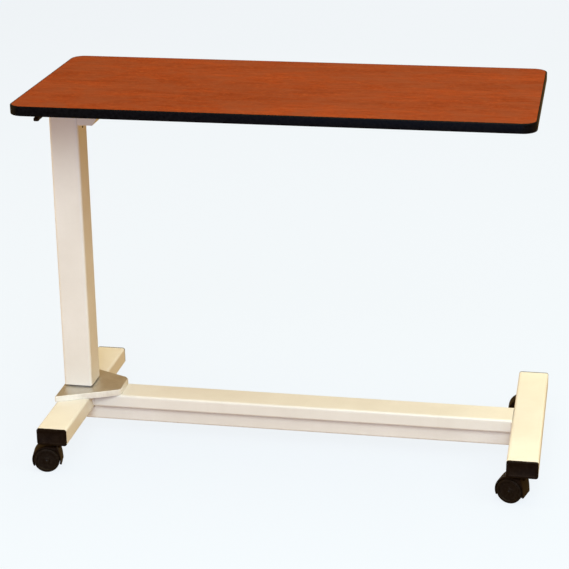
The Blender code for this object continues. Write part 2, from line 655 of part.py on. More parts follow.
def build_lever_grip(pivot, bar_end_y):
    """Plastic grip pushed over the bar, rounded at the tip and turned down there."""
    top = LEVER_BAR_THICKNESS / 2 + 0.0012
    bottom = -top
    tip = LEVER_TIP_Y - LEVER_PIVOT_Y
    start = tip + GRIP_LENGTH
    outline = [
        (start, top),
        (start, bottom),
        (tip + 0.016, bottom),
        (tip + 0.009, bottom - 0.0010),
        (tip + 0.003, bottom - 0.0010),
        (tip, bottom + 0.0015),
        (tip, top - 0.002),
        (tip + 0.002, top),
    ]
    grip_solid = turn(stand_outline_up(extruded(outline, LEVER_WIDTH + 2 * GRIP_WALL)), 90, "Z")
    grip = make_object("lever_grip", grip_solid, BLACK_PLASTIC, parent=pivot)
    grip.modifiers.new("soft_edges", "BEVEL").width = 0.0007
    socket_tip = bar_end_y - LEVER_PIVOT_Y - FIT_GAP
    socket = box(LEVER_WIDTH + 2 * FIT_GAP, start + 0.010 - socket_tip, LEVER_BAR_THICKNESS + 2 * FIT_GAP)
    bmesh.ops.translate(socket, verts=socket.verts, vec=(0, (socket_tip + start + 0.010) / 2, 0))
    combine(grip, "cut_grip_socket", socket, "DIFFERENCE", parent=pivot)


def build_lever_bracket():
    """A folded bracket under the top whose two cheeks hold the lever's pivot pin."""
    top_z = PANEL_BOTTOM_Z - FIT_GAP
    gauge = BRACKET_GAUGE
    inner_half = LEVER_WIDTH / 2 + 0.0012
    outer_half = inner_half + gauge
    drop = top_z - LEVER_PIVOT_Z + LEVER_BOSS_RADIUS
    outline = [
        (-outer_half, 0), (-outer_half, -drop), (-inner_half, -drop), (-inner_half, -gauge),
        (inner_half, -gauge), (inner_half, -drop), (outer_half, -drop), (outer_half, 0),
    ]
    folded = stand_outline_up(extruded(outline, BRACKET_DEPTH))
    bracket = make_object("lever_bracket", folded, ZINC_STEEL, (LEFT_LEG_X, LEVER_PIVOT_Y, top_z))
    hole = turn(hole_tool(PIVOT_PIN_RADIUS + FIT_GAP, -0.02, 0.02, 12), 90, "Y")
    combine(bracket, "cut_bracket_pin_holes", hole, "DIFFERENCE", (LEFT_LEG_X, LEVER_PIVOT_Y, LEVER_PIVOT_Z))
    clearance = box(2 * outer_half + 0.004, BRACKET_DEPTH + 0.008, 0.020)
    combine(bpy.data.objects["head_plate"], "cut_head_bracket_gap", clearance, "DIFFERENCE",
            (LEFT_LEG_X, LEVER_PIVOT_Y, PANEL_BOTTOM_Z))


# ---- the castors --------------------------------------------------------------------------
def hood_outline(inset):
    """Side view of the hood and web about the wheel's centre: X trails, Y is up."""
    fender = arc_points(HOOD_RADIUS - inset, -24, 96, 8)
    shoulder = (-CASTOR_TRAIL - HOOD_SHOULDER + inset, HOOD_SHOULDER_Z - WHEEL_RADIUS - inset)
    leading_tip = (-CASTOR_TRAIL - HOOD_LEAD + inset / 2, HOOD_LEAD_Z - WHEEL_RADIUS)
    web = arc_points(WEB_RADIUS, 192, 336, 24)
    return [*fender, shoulder, leading_tip, *web]


def hood_solid():
    """The hood's side view carried across its width and chamfered at both sides."""
    half = HOOD_WIDTH / 2
    bm = bmesh.new()
    stations = (
        (HOOD_CHAMFER, -half),
        (0, 2 * HOOD_CHAMFER - half),
        (0, half - 2 * HOOD_CHAMFER),
        (HOOD_CHAMFER, half),
    )
    loops = [add_loop(bm, hood_outline(inset), height) for inset, height in stations]
    for lower, upper in zip(loops, loops[1:]):
        join_loops(bm, lower, upper)
    bm.faces.new(loops[0])
    bm.faces.new(loops[-1])
    return bm


def arc_points(radius, start, end, step):
    """Points every step degrees round the origin, both ends included."""
    return [(radius * cos(radians(a)), radius * sin(radians(a))) for a in range(start, end + 1, step)]


def build_castor(name, leg_x, stem_y, trail_angle):
    """A hooded twin-wheel castor: stem in the leg, hood on the stem, wheels on one axle."""
    swivel = make_empty(f"swivel_{name}", (leg_x, stem_y, 0), trail_angle)
    build_hood(name, swivel)
    build_stem(name, leg_x, stem_y, swivel)
    axle_centre = make_empty(f"axle_centre_{name}", (CASTOR_TRAIL, 0, WHEEL_RADIUS), parent=swivel)
    axle_half = WEB_THICKNESS / 2 + RUNNING_GAP + WHEEL_BORE_DEPTH - FIT_GAP
    axle = turn(turned_solid(((AXLE_RADIUS, -axle_half), (AXLE_RADIUS, axle_half))), 90, "X")
    make_object(f"castor_axle_{name}", axle, ZINC_STEEL, parent=axle_centre)
    for side, direction in (("a", -1), ("b", 1)):
        wheel = wheel_mesh()
        turn(wheel, 90 * direction, "X")
        make_object(f"castor_wheel_{side}_{name}", wheel, BLACK_RUBBER, parent=axle_centre)


def wheel_mesh():
    """A wheel turned about Z with a blind bore for the axle and a dished outer face."""
    inner = WEB_THICKNESS / 2 + RUNNING_GAP
    outer = inner + WHEEL_WIDTH
    round_over = 0.0015
    bore = AXLE_RADIUS + FIT_GAP
    return turned_solid((
        (bore, inner + WHEEL_BORE_DEPTH),
        (bore, inner),
        (WHEEL_RADIUS - round_over, inner),
        (WHEEL_RADIUS, inner + round_over),
        (WHEEL_RADIUS, outer - round_over),
        (WHEEL_RADIUS - round_over, outer),
        (0.017, outer),
        (0.015, outer - 0.002),
        (0.005, outer - 0.002),
        (0.003, outer - 0.0015),
    ), 24)


def build_hood(name, swivel):
    """Fender, central web and stem boss, with a pocket on each side for a wheel."""
    shell = stand_outline_up(hood_solid())
    bmesh.ops.translate(shell, verts=shell.verts, vec=(CASTOR_TRAIL, 0, WHEEL_RADIUS))
    hood = make_object(f"castor_hood_{name}", shell, BLACK_PLASTIC, parent=swivel)
    boss_top = LEG_BOTTOM_Z - SOCKET_WALL - FIT_GAP - RUNNING_GAP
    boss = turned_solid(((BOSS_RADIUS, 0.044), (BOSS_RADIUS, boss_top)), 20)
    combine(hood, f"join_boss_{name}", boss, "UNION", parent=swivel)
    for wheel_side, direction in (("a", -1), ("b", 1)):
        pocket = hole_tool(POCKET_RADIUS, WEB_THICKNESS / 2, HOOD_WIDTH, 26)
        turn(pocket, 90 * direction, "X")
        combine(hood, f"cut_pocket_{wheel_side}_{name}", pocket, "DIFFERENCE",
                (CASTOR_TRAIL, 0, WHEEL_RADIUS), swivel)
    bore = turn(hole_tool(AXLE_RADIUS + FIT_GAP, -0.01, 0.01), 90, "X")
    combine(hood, f"cut_axle_bore_{name}", bore, "DIFFERENCE", (CASTOR_TRAIL, 0, WHEEL_RADIUS), swivel)
    stem_hole = hole_tool(STEM_NECK_RADIUS + FIT_GAP, 0.046, 0.070)
    combine(hood, f"cut_stem_hole_{name}", stem_hole, "DIFFERENCE", parent=swivel)


def build_stem(name, leg_x, stem_y, swivel):
    """The steel stem, which turns with the hood, in a flanged socket fixed in the leg."""
    stem = turned_solid((
        (STEM_NECK_RADIUS, 0.0465),
        (STEM_NECK_RADIUS, LEG_BOTTOM_Z),
        (STEM_RADIUS, LEG_BOTTOM_Z + 0.0005),
        (STEM_RADIUS, LEG_BOTTOM_Z + 0.022),
        (STEM_RADIUS - 0.002, LEG_BOTTOM_Z + 0.024),
    ))
    make_object(f"castor_stem_{name}", stem, ZINC_STEEL, parent=swivel)
    bore = STEM_RADIUS + FIT_GAP
    shell = bore + SOCKET_WALL
    socket = turned_ring((
        (SOCKET_FLANGE_RADIUS, -SOCKET_WALL - FIT_GAP),
        (SOCKET_FLANGE_RADIUS, -FIT_GAP),
        (shell, -FIT_GAP),
        (shell, 0.024),
        (bore, 0.024),
        (bore, -SOCKET_WALL - FIT_GAP),
    ))
    make_object(f"castor_socket_{name}", socket, BLACK_PLASTIC, (leg_x, stem_y, LEG_BOTTOM_Z))


def main():
    clear_scene()
    build_leg("left", LEFT_LEG_X)
    build_leg("right", RIGHT_LEG_X)
    build_leg_caps()
    build_crosspieces()
    build_base_plate()
    build_leg_bolts()
    build_inner_column()
    build_gas_spring()
    build_outer_column()
    build_spring_head()
    build_support_arm()
    build_tabletop()
    build_lever()
    build_top_screws()
    for name, (leg_x, stem_y, trail_angle) in CASTORS.items():
        build_castor(name, leg_x, stem_y, trail_angle)


main()
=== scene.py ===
"""Overbed table: finer surfaces, materials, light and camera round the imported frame.

Metres, +Z up, in the frame's own axes: X along the table, the column at the -X end.
"""

import json
from math import atan2, cos, pi, radians, sin, sqrt

import bmesh
import bpy
from mathutils import Matrix, Vector


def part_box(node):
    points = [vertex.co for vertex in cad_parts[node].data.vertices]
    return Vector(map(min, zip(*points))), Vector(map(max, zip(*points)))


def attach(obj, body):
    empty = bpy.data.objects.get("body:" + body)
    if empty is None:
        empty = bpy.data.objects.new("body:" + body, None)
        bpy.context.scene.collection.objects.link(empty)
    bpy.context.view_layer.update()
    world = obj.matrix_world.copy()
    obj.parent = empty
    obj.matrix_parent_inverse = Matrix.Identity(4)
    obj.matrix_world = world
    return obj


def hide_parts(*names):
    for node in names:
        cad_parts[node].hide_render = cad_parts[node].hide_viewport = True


# ---- driving values, in metres unless a comment says otherwise ------------------------------
CORNERS = ("front_left", "front_right", "rear_left", "rear_right")

CAMERA_FROM_TOP = Vector((0.5611, -2.9914, 0.7370))   # from the middle of the tabletop's upper face
CAMERA_TURN = (radians(69.949), radians(0.730), radians(10.500))
CAMERA_LENS = 109.41        # millimetres
CAMERA_SENSOR = 36          # millimetres
CAMERA_SHIFT_Y = -0.0044    # share of the sensor's width

GAP = 0.0003                # the frame's clearance between touching pieces
MERGE_DISTANCE = 0.00002    # closer points than this are one point
SMOOTH_ANGLE = 30           # degrees: edges sharper than this stay crisp

TOP_CORNER = 0.026          # corner radius of the tabletop, seen from above
TOP_CORNER_STEPS = 16
BAND_BEAD = 0.0022          # rounding of the edge moulding

SHEET_GAUGE = 0.003         # thickness of the base plate's sheet
SHEET_BEND = 0.0022         # its outer bend radius
PLATE_END_HALF = 0.0305     # half of the plate's depth at its narrow end
PLATE_CLIP = 0.006          # clipped corners at that end
PLATE_CLIP_BULGE = (0.3, 0.45)   # a point midway on the clip, as shares of it: from the end, from the side
PLATE_CORNER = (            # corner at its wide end: along the plate, and inward from its side
    (0, 0.0018),
    (0.0015, 0.0003),
)
SEAT_CUT_PAST = 0.02        # the leg's slot is cut this far past the plate's outer edge
SEAT_CUT_HALF = 0.2         # and this far each way across, well past both sides
HOLLOW_CUT_PAST = 0.01      # the pan's hollow is cut from this far below it
FLANGE_NORMAL_Z = 0.75      # faces that point less upright than this are the flange, which gets the paler finish: a painted highlight

CAP_FACE = 0.0037           # an end cap stands out of its tube by this much
CAP_RIM = 0.0016            # rounding of its rim
CAP_CORNER = 0.0045
CAP_LEAST_CORNER = 0.0012
CAP_CORNER_STEPS = 8
CAP_PLUG = (                # its plug: offset from the tube's outline, and distance out of the tube's end
    (-0.0033, -0.0117),
    (-0.0023, -0.0100),
    (-0.0023, GAP),
    (0, GAP),
)
CAP_PANEL = (               # shallow panel in its face: offset from the tube's outline, and from the face
    (-0.0042, 0),
    (-0.0050, -0.0003),
    (-0.0054, -0.0006),
)

WELD_RADIUS = 0.0022
WELD_RIPPLE = 0.0011        # length of one ripple of a bead
WELD_LEAST_RIPPLES = 6
WELD_SWELL = 0.10           # height of a ripple, as a share of the radius
WELD_END_POWER = 16         # the higher, the blunter a bead's ends
WELD_LEAST_TAPER = 0.05
WELD_SIDES = 12
WELD_SMOOTH_ANGLE = 60      # degrees
WELD_PROUD = 0.35           # share of the radius that a stretcher bead's middle is out from the tube
WELD_END_GAP = 0.003        # from the stretcher's edges to the ends of its beads
STITCHES = 5                # short beads along each side of the rail
STITCH_RADIUS = 0.0015
STITCH_HALF_LENGTH = 0.018
ARM_WELD_RADIUS = 0.0016
ARM_WELD_INWARD = 0.0030
ARM_WELD_BELOW = 0.001      # from the arm's lowest edge to the bead
ARM_WELD_ABOVE = 0.004      # from the bead to the column's top

GRIP_STATIONS = 28
GRIP_SMOOTH_ANGLE = 50      # degrees
GRIP_NOSE = 9               # the rounded nose is one part in nine of the grip's length
GRIP_DROP = 0.001           # how far the tip's swelling hangs below the grip
GRIP_DROP_AT = 0.10         # share of the length
GRIP_DROP_REACH = 0.12      # share of the length
GRIP_RIB = 0.00018          # height of the finger ribs
GRIP_RIB_RATE = 60          # radians of the ribs' wave along the whole length
GRIP_RIBBED = (0.25, 0.9)   # share of the length where the ribs start and end
GRIP_CORNER = 0.0016
GRIP_CORNER_STEPS = 5
GRIP_NOSE_TOP = 0.0014      # how far the nose falls at the top
GRIP_NOSE_UNDER = 0.0016    # how far it rises underneath
GRIP_NOSE_WIDTH = 0.62      # its width, as a share of the grip's

WHEEL_RADIUS = 0.024
WHEEL_INNER = 0.0051        # wheel faces, out from the middle of the castor
WHEEL_OUTER = 0.0199
TREAD_CROWN = 0.0002        # the tread's middle stands out by this much
TREAD_ROUNDING = 0.0022
WHEEL_STEPS = 56
WHEEL_SMOOTH_ANGLE = 35     # degrees
AXLE_HOLE = 0.0033
HUB_RIVET = 0.0017          # steel end of the axle, showing in the middle of each wheel
RIVET_DEPTH = 0.0007        # faces nearer the outer face than this, inside the rivet, are steel
WHEEL_BACK = (              # inner face from the bore out: radius, and depth into the wheel
    (AXLE_HOLE, 0.009),
    (AXLE_HOLE, 0),
    (0.0070, 0),
    (0.0072, 0.001),
    (0.0190, 0.001),
    (0.0192, 0),
)
WHEEL_DISC = (              # outer face from the tread in: radius, and depth below the face
    (0.0188, 0),
    (0.0180, 0.0006),
    (0.0174, 0.0018),
    (0.0080, 0.0024),
    (0.0058, 0.0020),
    (0.0050, 0.0010),
    (0.0042, 0.0008),
    (HUB_RIVET, 0.0008),
    (HUB_RIVET, 0.0003),
    (HUB_RIVET - 0.0006, 0),
)

HOOD_RADIUS = 0.0279
HOOD_HALF_WIDTH = 0.0184
HOOD_SHOULDER_RADIUS = 0.0048
HOOD_SHOULDER_TAPER = 0.45  # the side view shrinks by this share of the shoulder's inset
HOOD_FRONT = (              # hood's front edge from its top down: ahead of the stem, and height
    (0.0008, 0.0500),
    (0.0036, 0.0450),
    (0.0062, 0.0365),
    (0.0077, 0.0280),
    (0.0087, 0.0150),
)
FENDER_ARC = (-24, 96, 30)  # degrees round the hub, from the trailing side over the top, and steps
WEB_ARC = (198, 336, 12)    # degrees round the hub, under it, and steps
WEB_RADIUS = 0.017
WEB_HALF = 0.0045           # half of the wall between the wheels
POCKET_RADIUS = 0.0248
POCKET_END = 0.03           # beyond the hood's side
POCKET_STEPS = 64
AXLE_HOLE_HALF = 0.01       # beyond the web's faces
BOSS_RADIUS = 0.007
BOSS_BOTTOM = 0.044
BOSS_STEPS = 32
STEM_HOLE = 0.0043
STEM_HOLE_ENDS = (0.0462, 0.07)   # heights: inside the boss, and above it
HOLE_STEPS = 24

STAGE_CENTRE = 1.0          # radius of the flat middle
STAGE_RADIUS = 14.0
STAGE_SWEEP = 3.0           # radius of the curve from the floor up to the wall
STAGE_WALL = 8.0
STAGE_STEPS = 96

# Watts and colours were fitted to the tones that the cream paint has in the photo.
LIGHTS = (
    # name, place, aimed at, size, watts, colour, seen in reflections
    ("overhead", (0.2, 0, 3.4), (0, 0, 0.3), 2.6, 57, (0.96, 1.0, 0.66), True),
    ("front_high", (0.4, -3.0, 2.7), (0, 0, 0.35), 2.4, 106, (0.83, 0.94, 1.0), True),
    ("front_low", (0, -3.8, 0.5), (0, 0, 0.35), 2.0, 40, (0.14, 0.42, 1.0), True),
    ("left", (-3.4, -0.6, 1.0), (0, 0, 0.35), 2.2, 28, (1.0, 0.68, 0.28), True),
    ("right_low", (3.6, 0.2, 0.6), (0, 0, 0.35), 2.0, 8, (1.0, 0.45, 0.15), True),
    ("right_high", (2.6, -1.0, 2.6), (0, 0, 0.35), 2.0, 50, (0.85, 1.0, 0.82), True),
    ("back_low", (0.3, 6.0, 1.2), (0, 0, 0.35), 3.0, 40, (1.0, 0.90, 0.80), False),
    ("back_high", (0.2, 2.8, 2.6), (0, 1.0, 0), 2.0, 14, (1.0, 0.95, 0.80), False),
)
ROOM_COLOUR = (1.0, 0.60, 0.20)
ROOM_STRENGTH = 0.455
STAGE_GLOW_COLOUR = (0.908, 0.957, 1.0)
STAGE_GLOW = 0.895
STAGE_COLOUR = (0.070, 0.076, 0.085)


# ---- small helpers ------------------------------------------------------------------------
def new_object(name, bm, materials, smooth_angle=SMOOTH_ANGLE):
    """Turn a bmesh into a smooth-shaded object with crisp sharp edges."""
    bmesh.ops.recalc_face_normals(bm, faces=bm.faces)
    mesh = bpy.data.meshes.new(name)
    bm.to_mesh(mesh)
    bm.free()
    mesh.shade_smooth()
    mesh.set_sharp_from_angle(angle=radians(smooth_angle))
    for finish in materials:
        mesh.materials.append(finish)
    obj = bpy.data.objects.new(name, mesh)
    bpy.context.scene.collection.objects.link(obj)
    return obj


def rounded_rectangle(width, depth, radius, steps):
    """Outline about the origin, with the given number of steps round each corner."""
    points = []
    corners = ((1, 1, 0), (-1, 1, 90), (-1, -1, 180), (1, -1, 270))
    for side_x, side_y, start in corners:
        for step in range(steps + 1):
            angle = radians(start + 90 * step / steps)
            points.append((
                side_x * (width / 2 - radius) + radius * cos(angle),
                side_y * (depth / 2 - radius) + radius * sin(angle),
            ))
    return points


def circle(radius, steps):
    return [(radius * cos(2 * pi * i / steps), radius * sin(2 * pi * i / steps)) for i in range(steps)]


def arc_points(radius, start, end, steps):
    """Points round the origin from one angle to another, in degrees, both ends included."""
    angles = [radians(start + (end - start) * i / steps) for i in range(steps + 1)]
    return [(radius * cos(a), radius * sin(a)) for a in angles]


def quarter_round(radius, steps=4):
    """(inset, rise) pairs round a quarter circle, from a wall up onto a flat top."""
    angles = [radians(90 * i / steps) for i in range(steps + 1)]
    return [(radius * (1 - cos(a)), radius * sin(a)) for a in angles]


def add_loop(bm, points, height):
    return [bm.verts.new((x, y, height)) for x, y in points]


def join_loops(bm, first, second):
    count = len(first)
    for i in range(count):
        after = (i + 1) % count
        bm.faces.new((first[i], first[after], second[after], second[i]))


def loft(sections, closed_ring=False):
    """Skin a stack of (points, height) loops: capped, or closed into a ring."""
    bm = bmesh.new()
    loops = [add_loop(bm, points, height) for points, height in sections]
    for lower, upper in zip(loops, loops[1:]):
        join_loops(bm, lower, upper)
    if closed_ring:
        join_loops(bm, loops[-1], loops[0])
    else:
        bm.faces.new(loops[0])
        bm.faces.new(loops[-1])
    return bm


def turned(profile, steps):
    """A capped profile of (radius, height), turned about Z."""
    return loft([(circle(radius, steps), height) for radius, height in profile])


def turn(bm, degrees, axis):
    rotation = Matrix.Rotation(radians(degrees), 3, axis)
    bmesh.ops.rotate(bm, verts=bm.verts, cent=(0, 0, 0), matrix=rotation)
    return bm


def move(bm, x=0.0, y=0.0, z=0.0):
    bmesh.ops.translate(bm, verts=bm.verts, vec=(x, y, z))
    return bm


def block(low, high):
    """A box between two corners, used as a cutting tool."""
    bm = bmesh.new()
    bmesh.ops.create_cube(bm, size=1.0)
    size = [b - a for a, b in zip(low, high)]
    bmesh.ops.scale(bm, vec=size, verts=bm.verts)
    return move(bm, *[(a + b) / 2 for a, b in zip(low, high)])


def carve(obj, tools):
    """Apply (operation, mesh) pairs to an object with exact booleans."""
    helpers = []
    for i, (operation, bm) in enumerate(tools):
        helper = new_object(f"{obj.name}_tool_{i}", bm, ())
        modifier = obj.modifiers.new(helper.name, "BOOLEAN")
        modifier.operation = operation
        modifier.solver = "EXACT"
        modifier.object = helper
        helpers.append(helper)
    bpy.context.view_layer.update()
    evaluated = obj.evaluated_get(bpy.context.evaluated_depsgraph_get())
    result = bpy.data.meshes.new_from_object(evaluated)
    obj.modifiers.clear()
    obj.data = result
    clean = bmesh.new()
    clean.from_mesh(result)
    bmesh.ops.remove_doubles(clean, verts=clean.verts, dist=MERGE_DISTANCE)
    bmesh.ops.dissolve_degenerate(clean, edges=clean.edges, dist=MERGE_DISTANCE)
    bmesh.ops.triangulate(clean, faces=clean.faces)
    clean.to_mesh(result)
    clean.free()
    for helper in helpers:
        bpy.data.objects.remove(helper)
    result.shade_smooth()
    result.set_sharp_from_angle(angle=radians(SMOOTH_ANGLE))
    return obj


def copy_mesh(source, name, place):
    """A copy with its own mesh, which the placing matrix is worked into."""
    obj = bpy.data.objects.new(name, source.data.copy())
    obj.data.transform(place)
    bpy.context.scene.collection.objects.link(obj)
    return obj


# ---- materials ----------------------------------------------------------------------------
class Nodes:
    """A short way to wire a Principled material in object space."""

    def __init__(self, name, roughness=0.4, metallic=0.0, specular=0.5, tint=(1, 1, 1)):
        self.material = bpy.data.materials.new(name)
        self.material.use_nodes = True
        self.tree = self.material.node_tree
        self.shader = self.tree.nodes["Principled BSDF"]
        self.shader.inputs["Roughness"].default_value = roughness
        self.shader.inputs["Metallic"].default_value = metallic
        self.shader.inputs["Specular IOR Level"].default_value = specular
        self.shader.inputs["Specular Tint"].default_value = (*tint, 1.0)
        self.place = self.tree.nodes.new("ShaderNodeTexCoord").outputs["Object"]

    def link(self, source, target):
        self.tree.links.new(source, target)

    def stretch(self, scale):
        """Object coordinates with a scale of their own along each axis, for grain and lines."""
        mapping = self.tree.nodes.new("ShaderNodeMapping")
        mapping.inputs["Scale"].default_value = scale
        self.link(self.place, mapping.inputs["Vector"])
        return mapping.outputs["Vector"]

    def noise(self, scale, detail, roughness, distortion=0.0, place=None):
        """A noise value: scale is its features to the metre, or 1 where a stretched place sets them."""
        node = self.tree.nodes.new("ShaderNodeTexNoise")
        node.inputs["Scale"].default_value = scale
        node.inputs["Detail"].default_value = detail
        node.inputs["Roughness"].default_value = roughness
        node.inputs["Distortion"].default_value = distortion
        self.link(place or self.place, node.inputs["Vector"])
        return node.outputs["Fac"]

    def ramp(self, factor, stops):
        """Colours at (position, colour) stops along a noise value."""
        node = self.tree.nodes.new("ShaderNodeValToRGB")
        elements = node.color_ramp.elements
        while len(elements) < len(stops):
            elements.new(0.5)
        for element, (position, colour) in zip(elements, stops):
            element.position = position
            element.color = (*colour, 1.0)
        self.link(factor, node.inputs["Fac"])
        return node.outputs["Color"]

    def mix(self, factor, first, second):
        """Blend a node's colour towards a fixed second colour."""
        node = self.tree.nodes.new("ShaderNodeMix")
        node.data_type = "RGBA"
        first_in, second_in = [s for s in node.inputs if s.type == "RGBA"]
        self.link(factor, node.inputs[0])
        self.link(first, first_in)
        second_in.default_value = (*second, 1.0)
        return next(s for s in node.outputs if s.type == "RGBA")

    def spread(self, factor, low, high, from_low=0.3, from_high=0.7):
        """Map a noise value onto a range of numbers."""
        node = self.tree.nodes.new("ShaderNodeMapRange")
        node.inputs["From Min"].default_value = from_low
        node.inputs["From Max"].default_value = from_high
        node.inputs["To Min"].default_value = low
        node.inputs["To Max"].default_value = high
        self.link(factor, node.inputs["Value"])
        return node.outputs["Result"]

    def height(self, *layers):
        """Bump the surface with (value, depth in metres) layers, each on top of the one before."""
        normal = None
        for value, depth in layers:
            node = self.tree.nodes.new("ShaderNodeBump")
            node.inputs["Strength"].default_value = 1.0
            node.inputs["Distance"].default_value = depth
            self.link(value, node.inputs["Height"])
            if normal is not None:
                self.link(normal, node.inputs["Normal"])
            normal = node.outputs["Normal"]
        self.link(normal, self.shader.inputs["Normal"])

    def finish(self, colour, roughness=None):
        """Connect the colour, and a varying roughness if there is one, and give the material."""
        self.link(colour, self.shader.inputs["Base Color"])
        if roughness is not None:
            self.link(roughness, self.shader.inputs["Roughness"])
        return self.material


def cream_paint():
    """Semi-gloss powder coat: fine orange peel, faint mottling, a little grime in streaks."""
    n = Nodes("cream_powder_coat", specular=0.45)
    mottle = n.noise(9, 4, 0.6)
    grain = n.noise(650, 2, 0.5)
    peel = n.noise(330, 2, 0.45)
    streaks = n.noise(1.0, 3, 0.6, place=n.stretch((70, 70, 3)))
    base = n.ramp(mottle, ((0.30, (0.79, 0.755, 0.675)), (0.70, (0.86, 0.83, 0.755))))
    aged = n.mix(n.spread(streaks, 0.0, 0.16, 0.52, 0.78), base, (0.74, 0.70, 0.61))
    speckled = n.mix(n.spread(grain, 0.0, 0.12, 0.55, 0.75), aged, (0.68, 0.64, 0.57))
    n.height((peel, 0.00009), (grain, 0.00003))
    return n.finish(speckled, n.spread(mottle, 0.34, 0.44))


def plate_paint():
    """Satin silver-grey finish on rolled sheet, with rolling lines and rub marks."""
    n = Nodes("silver_sheet", metallic=0.75, specular=0.5)
    rolling = n.noise(1.0, 3, 0.6, place=n.stretch((40, 900, 40)))
    rubs = n.noise(26, 5, 0.7, 0.6)
    grain = n.noise(900, 2, 0.5)
    base = n.ramp(rubs, ((0.32, (0.53, 0.50, 0.44)), (0.68, (0.70, 0.67, 0.61))))
    lined = n.mix(n.spread(rolling, 0.0, 0.35), base, (0.47, 0.44, 0.385))
    n.height((rolling, 0.00003), (grain, 0.00003))
    return n.finish(lined, n.spread(rubs, 0.28, 0.42))


def plate_edge_painted_highlight():
    """The plate's rolled flange: the same finish painted paler and less metallic, a painted reflection of the
    bright floor, with vertical forming marks.
    """
    n = Nodes("sheet_edge_painted_highlight", metallic=0.15, specular=0.5)
    marks = n.noise(1.0, 3, 0.6, place=n.stretch((260, 260, 30)))
    rubs = n.noise(45, 4, 0.65)
    # Painted reflection: these pale tones stand in for the bright floor light that the flange would reflect.
    base = n.ramp(rubs, ((0.32, (0.76, 0.73, 0.66)), (0.68, (0.88, 0.86, 0.80))))
    marked = n.mix(n.spread(marks, 0.0, 0.25), base, (0.66, 0.63, 0.57))
    n.height((marks, 0.00003))
    return n.finish(marked, n.spread(rubs, 0.30, 0.42))


def wood_laminate():
    """Cherry wood-grain laminate: long bands, fine streaks and short pores along X."""
    n = Nodes("cherry_laminate", specular=0.06)
    bands = n.noise(1.0, 4, 0.60, 0.8, place=n.stretch((2.6, 19, 4)))
    streaks = n.noise(1.0, 5, 0.65, 0.3, place=n.stretch((17, 260, 20)))
    pores = n.noise(1.0, 2, 0.6, place=n.stretch((75, 1500, 60)))
    flecks = n.noise(1.0, 2, 0.5, place=n.stretch((130, 420, 60)))
    cloud = n.noise(1.0, 4, 0.65, 0.6, place=n.stretch((13, 24, 9)))
    base = n.ramp(bands, (
        (0.30, (0.182, 0.0215, 0.0034)),
        (0.50, (0.246, 0.0315, 0.0050)),
        (0.70, (0.312, 0.0445, 0.0080)),
    ))
    streaked = n.mix(n.spread(streaks, 0.0, 0.78, 0.42, 0.70), base, (0.138, 0.0170, 0.0030))
    pored = n.mix(n.spread(pores, 0.0, 0.78, 0.53, 0.68), streaked, (0.086, 0.0105, 0.0020))
    flecked = n.mix(n.spread(flecks, 0.0, 0.55, 0.54, 0.72), pored, (0.370, 0.0860, 0.0240))
    clouded = n.mix(n.spread(cloud, 0.0, 0.75, 0.40, 0.64), flecked, (0.200, 0.0400, 0.0150))
    n.height((pores, 0.00004), (streaks, 0.00002))
    return n.finish(clouded, n.spread(streaks, 0.36, 0.48))


def backing_sheet():
    """Plain brown balancing sheet under the panel, with a faint sanded grain."""
    n = Nodes("backing_sheet", specular=0.3)
    fibres = n.noise(1.0, 4, 0.6, place=n.stretch((30, 320, 30)))
    mottle = n.noise(14, 4, 0.6)
    base = n.ramp(fibres, ((0.3, (0.155, 0.085, 0.050)), (0.7, (0.225, 0.130, 0.080))))
    mottled = n.mix(n.spread(mottle, 0.0, 0.3), base, (0.13, 0.07, 0.042))
    n.height((fibres, 0.00004))
    return n.finish(mottled, n.spread(mottle, 0.5, 0.62))


def black_edging():
    """Satin black moulding with the faint long waves of an extrusion."""
    n = Nodes("black_edging", specular=0.04)
    waves = n.noise(1.0, 3, 0.6, place=n.stretch((60, 60, 900)))
    scuffs = n.noise(210, 4, 0.7)
    base = n.ramp(scuffs, ((0.40, (0.0016, 0.0014, 0.0018)), (0.75, (0.0055, 0.0050, 0.0060))))
    n.height((waves, 0.00005), (scuffs, 0.00003))
    return n.finish(base, n.spread(scuffs, 0.30, 0.44))


def black_plastic():
    """Moulded nylon: warm black with a fine spark-eroded texture and paler scuffs."""
    n = Nodes("black_nylon", specular=0.12, tint=(1, 0.62, 0.42))
    texture = n.noise(1300, 2, 0.5)
    scuffs = n.noise(120, 5, 0.75)
    base = n.ramp(scuffs, ((0.42, (0.0036, 0.0019, 0.0011)), (0.80, (0.0130, 0.0090, 0.0060))))
    n.height((texture, 0.00005), (scuffs, 0.00003))
    return n.finish(base, n.spread(scuffs, 0.42, 0.58))


def wheel_plastic():
    """Wheel nylon with dust, duller where the dust lies."""
    n = Nodes("wheel_nylon", specular=0.16, tint=(1, 0.72, 0.52))
    dust = n.noise(260, 5, 0.7)
    texture = n.noise(1500, 2, 0.5)
    base = n.ramp(dust, ((0.45, (0.0040, 0.0024, 0.0015)), (0.80, (0.0170, 0.0130, 0.0090))))
    n.height((texture, 0.00004), (dust, 0.00004))
    return n.finish(base, n.spread(dust, 0.46, 0.62))


def zinc_steel():
    """Zinc-plated steel with drawn lines along its length and cloudy plating."""
    n = Nodes("zinc_plate", metallic=1.0)
    lines = n.noise(1.0, 3, 0.6, place=n.stretch((600, 600, 12)))
    cloud = n.noise(60, 4, 0.6)
    base = n.ramp(cloud, ((0.3, (0.56, 0.60, 0.64)), (0.7, (0.64, 0.68, 0.72))))
    lined = n.mix(n.spread(lines, 0.0, 0.3), base, (0.48, 0.51, 0.55))
    n.height((lines, 0.00002))
    return n.finish(lined, n.spread(cloud, 0.26, 0.40))


def black_steel():
    """Black-coated steel: satin, slightly uneven, with bright rubs."""
    n = Nodes("black_coated_steel", metallic=0.6)
    rubs = n.noise(90, 5, 0.7)
    base = n.ramp(rubs, ((0.45, (0.014, 0.014, 0.014)), (0.85, (0.060, 0.058, 0.055))))
    n.height((n.noise(700, 2, 0.5), 0.00003))
    return n.finish(base, n.spread(rubs, 0.30, 0.45))


